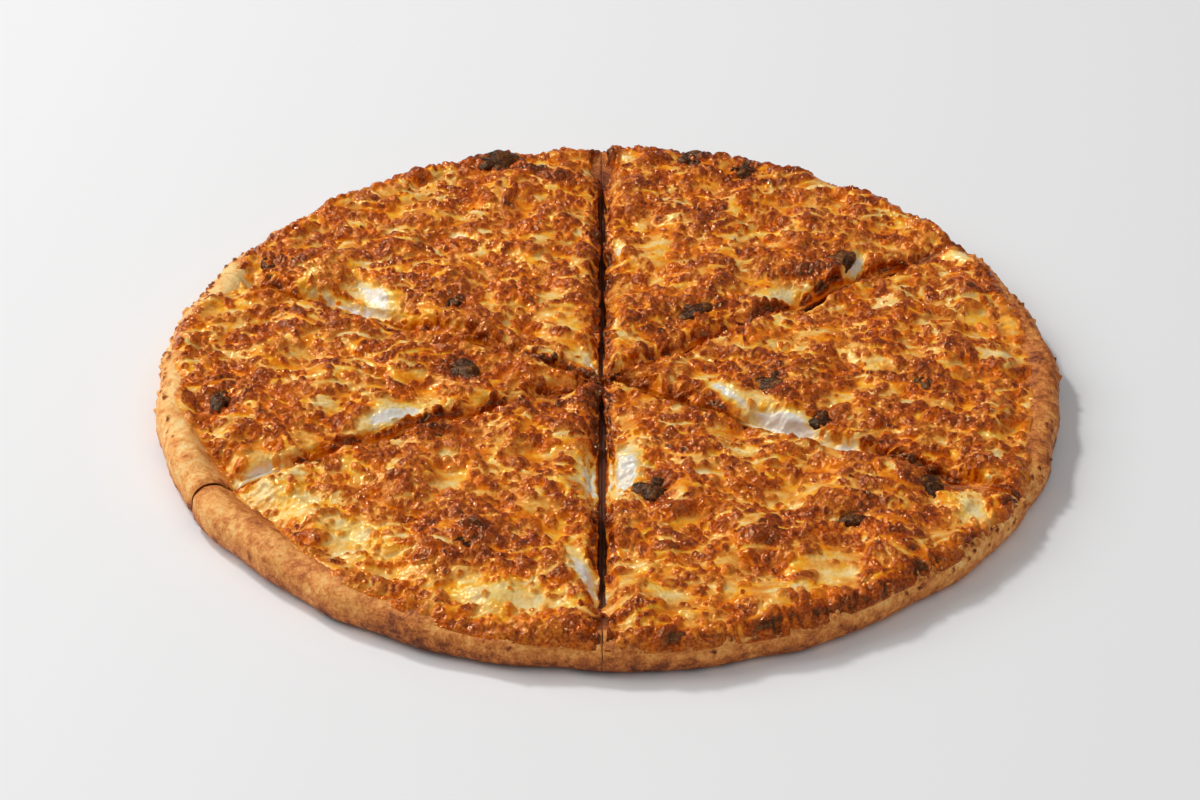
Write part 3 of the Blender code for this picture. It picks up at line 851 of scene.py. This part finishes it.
def cheese_relief(start, mm):
    """Waves, blisters and torn edges, and how far the cheese has turned brown, with painted shade
    along the cuts and down their walls.
    """
    flat = mm.stretched((1.0, 1.0, 0.0))
    bend = flat.noise(17.0, 1.0, colour=True).moved((-0.5, -0.5, -0.5))
    shiver = flat.noise(2.6, 1.0, colour=True).moved((-0.5, -0.5, -0.5))
    loose = flat.moved(bend.scaled(6.0)).moved(shiver.scaled(0.25))
    cover, strand = cheese_cover(loose)
    ragged = flat.noise(4.0, 3.0, rough=0.6) - 0.5
    drawn = own_value(start, "pale")
    pale = (drawn + ragged * 0.8).ease(0.15, 0.75)
    torn = pale * (drawn + ragged * 0.4).ease(0.74, 0.98)
    dark = own_value(start, "dark")
    bald = own_value(start, "smooth")
    edge = own_value(start, "edge")
    end = own_value(start, "end")
    depth = own_value(start, "depth")
    inside = own_value(start, "inside")
    toast = own_value(start, "toast")
    rim_band = (1.0 - inside.ease(3.0, 9.0)) * (0.12 + toast * 1.2)
    thick = cover.ease(-0.12, 0.16)
    ripples = flat.moved((3.0, 9.0, 0.0)).noise(11.0) - 0.5
    waves = (flat.noise(24.0, 1.0) - 0.5) * 2.6 + ripples * 2.2
    rise = waves + thick * 0.9 + strand * 0.3 - pale * 0.5 - 0.3
    fibres = flat.moved(bend.scaled(5.0)).stretched((1.0, 0.45, 1.0)).noise(2.2, 2.0) - 0.5
    rise = rise + torn * fibres * 0.35
    pores = flat.noise(1.5, 2.0) - 0.5
    gold = flat.moved((21.0, 0.0, 0.0)).stretched((0.7, 1.0, 1.0))
    gold = gold.noise(8.0, 3.0, rough=0.6) - 0.5
    shade = 0.46 + cover * 0.62 + gold * 0.95 - strand * 0.34 + pores * 0.12 + dark * 0.5
    shade = (shade + rim_band).most(0.13)
    cream = (0.06 + cover * 0.22 + pores * 0.5).most(0.08)
    shade = shade + (cream - shade) * pale * 0.96
    shade = shade + (fibres * 0.30 - 0.10 - shade) * torn
    clear = (1.0 - torn) * (1.0 - pale * 0.72) * (1.0 - strand) * (1.0 - bald)
    # no place is covered or raised yet
    covered = raised = torn * 0.0
    for size, share, fullness, shift in BLISTERS:
        place = loose.moved((shift, shift * 0.7, 0.0))
        cell = {"Vector": place, "Scale": 1.0 / size}
        away, draw, centre = (
            start.node("ShaderNodeTexVoronoi", cell, output=output, voronoi_dimensions="2D")
            for output in range(3)
        )
        there, streak = cheese_cover(centre.moved((-shift, -shift * 0.7, 0.0)))
        chance = (there + dark + rim_band).ease(-0.28, 0.06) * share - streak * 0.5
        shown = (chance * clear - draw.part("Y")).ease(-0.03, 0.03)
        radius = 0.36 + draw.part("X") * 0.20
        near = (away / radius).least(1.0)
        dome = (1.0 - near * near) ** 0.5
        popped = draw.part("Z") > 1.0 - POPPED_SHARE
        dent = (1.0 - near.ease(0.0, 0.8)) * popped
        bubble = dome * shown
        covered = covered.most(bubble)
        height = bubble * (1.0 - dent * 0.8) * radius * (size * fullness)
        raised = raised.most(height) + raised.least(height) * 0.3
        skin = 0.53 + draw.part("Z") * 0.27 + there * 0.55 + dark * 0.4 - pale * 0.36
        shade = shade + (skin - shade) * bubble.ease(0.0, 0.95)
    rise = rise + raised + pores * (0.8 - covered * 0.65)
    fall = end.ease(0.0, 2.5)
    wall = depth.ease(0.0, 0.35)
    out = start.node("GeometryNodeInputNormal").scaled(0.5).moved((0.0, 0.0, 0.5))
    up = out.scaled(rise * (0.25 + fall * 0.75) * (1.0 - wall) * 0.001)
    shade = shade + (1.0 - end.ease(0.0, 3.0)) * (0.40 + toast * 1.1 - shade) * 0.7
    gape = (flat.noise(9.0, 2.0) - 0.34) * 6.0 + own_value(start, "open") * 1.8
    meander = (flat.moved((60.0, 0.0, 0.0)).noise(11.0, 3.0, rough=0.6) - 0.5) * 5.5
    gape = gape.least(3.0).most(-0.35) + meander * own_value(start, "side")
    gape = gape * (1.0 - edge.ease(0.0, 6.0)) * end.ease(0.0, 6.0) * (1.0 - depth * 0.8) * 0.001
    away = {"X": own_value(start, "away_x"), "Y": own_value(start, "away_y")}
    offset = up.moved(start.node("ShaderNodeCombineXYZ", away).scaled(gape))
    # painted shade: the cheese is darker within a few millimetres of each cut, outlining the gaps
    painted_cut_shade = (1.0 - edge.ease(0.5, 4.0)) * (1.0 - pale)
    shade = shade + painted_cut_shade * 0.26
    # The cut walls are cream where the cheese tore pale; browner elsewhere and darker further
    # down is painted shade in the cuts.
    cream_wall = 0.03 + (mm.noise(3.5, 2.0) - 0.5) * 0.5 + (1.0 - drawn.ease(0.1, 0.6)) * 0.35
    inner = cream_wall + depth.ease(0.35, 0.75) * 0.7
    shade = shade + (inner - shade) * wall
    return offset, {"browning_and_shade": shade}


blisters = relief("blister_relief", cheese_relief)

cheese, shader = principled("melted_cheese", srgb(225, 150, 70), 0.35)
flow = Flow(cheese.node_tree)
mm = flow.node("ShaderNodeTexCoord", output=3).scaled(1000.0)
# how brown the cheese is, with the painted shade along the cuts and down their walls
browning_and_shade = flow.node("ShaderNodeAttribute", output=2, attribute_name="browning_and_shade")
grain = mm.noise(0.8, 2.0, rough=0.6) - 0.5
crowd = browning_and_shade.ease(0.40, 0.58)
TINY_BLISTER = 1.1
cell = {"Vector": mm.moved(mm.noise(2.0, colour=True)), "Scale": 1.0 / TINY_BLISTER}
tiny = flow.node("ShaderNodeTexVoronoi", cell)
shade = browning_and_shade + grain * 0.16 + (0.36 - tiny) * crowd * 0.30
# fat that has risen makes some places amber and leaves others cream
creamy = [
    (0.00, srgb(234, 230, 220)),
    (0.10, srgb(248, 222, 158)),
    (0.22, srgb(246, 196, 108)),
    (0.36, srgb(236, 160, 62)),
    (0.50, srgb(212, 118, 28)),
    (0.62, srgb(184, 84, 16)),
    (0.74, srgb(150, 56, 8)),
    (0.88, srgb(112, 35, 3)),
    (1.00, srgb(72, 20, 2)),
]
amber = [
    (0.00, srgb(236, 229, 212)),
    (0.10, srgb(252, 212, 118)),
    (0.22, srgb(254, 184, 50)),
    (0.36, srgb(242, 142, 12)),
    (0.50, srgb(216, 102, 4)),
    (0.62, srgb(182, 74, 2)),
    (0.74, srgb(148, 50, 1)),
    (0.88, srgb(110, 32, 0)),
    (1.00, srgb(70, 18, 0)),
]
fat = mm.stretched((0.8, 1.0, 1.0)).noise(7.0, 2.0).ease(0.42, 0.58)
colours = {
    0: fat,
    6: flow.node("ShaderNodeValToRGB", {0: shade}, stops=creamy),
    7: flow.node("ShaderNodeValToRGB", {0: shade}, stops=amber),
}
colour = flow.node("ShaderNodeMix", colours, output=2, data_type="RGBA")
skin = (1.0 - tiny * tiny) * (crowd * 0.7 + 0.2) + mm.noise(0.7, 1.0) * 0.25
feed(shader, Base_Color=colour, Roughness=(0.17 - crowd * 0.06 + grain * 0.20).most(0.06),
     Normal=bump(flow, skin, 0.00027, 1.0))
shader.inputs["Subsurface Weight"].default_value = 0.18
shader.inputs["Subsurface Radius"].default_value = (1.0, 0.4, 0.1)
shader.inputs["Subsurface Scale"].default_value = 0.0015
shader.inputs["Specular IOR Level"].default_value = 0.8
shader.inputs["Specular Tint"].default_value = (1.0, 0.64, 0.26, 1.0)

for name, (start, end) in SLICES.items():
    piece = cheese_sheet("melted_cheese_" + name)
    lay_cheese(piece, Wedge(start, end, CHEESE_GAP))
    apply_relief(piece, blisters)
    piece.data.materials.clear()
    piece.data.materials.append(cheese)
    piece.data.shade_smooth()
    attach(piece, "root")
    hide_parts("cheese_" + name)

# The floor is plain matt paint, and the pizza lies straight on it. A large soft box stands
# at the left and a fainter one above the camera; a small one behind at the left makes the
# glints. The camera has a long lens and looks down along the cut between the front slices.

FLOOR_SIZE = 6.0
CAMERA_DOWN = 34.3

floor = start_mesh(bpy.ops.mesh.primitive_plane_add, "floor", size=FLOOR_SIZE)
floor_paint, shader = principled("floor_paint", srgb(241, 241, 241), 0.6)
floor.data.materials.append(floor_paint)

world = bpy.data.worlds.new("studio")
bpy.context.scene.world = world
world.use_nodes = True
world.node_tree.nodes["Background"].inputs["Color"].default_value = (1.0, 1.0, 1.0, 1.0)
world.node_tree.nodes["Background"].inputs["Strength"].default_value = 0.24


def area_light(name, place, size, power):
    """A square soft box that faces the middle of the pizza."""
    data = bpy.data.lights.new(name, "AREA")
    data.size = size
    data.energy = power
    light = bpy.data.objects.new(name, data)
    bpy.context.scene.collection.objects.link(light)
    light.location = place
    light.rotation_euler = light.location.to_track_quat("Z", "Y").to_euler()


area_light("key", (-2.0, 0.5, 1.6), size=1.8, power=35.5)
area_light("sparkle", (-1.3, 1.2, 2.0), size=0.34, power=26.0)
area_light("fill", (0.8, -1.3, 2.2), size=2.4, power=14.0)

camera_data = bpy.data.cameras.new("camera")
camera_data.lens = 101.85
camera_data.sensor_width = 36.0
camera = bpy.data.objects.new("camera", camera_data)
camera.location = (-0.002964, -0.954368, 0.651160)
camera.rotation_euler = (math.radians(90.0 - CAMERA_DOWN), 0.0, 0.0)
bpy.context.scene.collection.objects.link(camera)
bpy.context.scene.camera = camera
bpy.context.scene.view_settings.view_transform = "Standard"
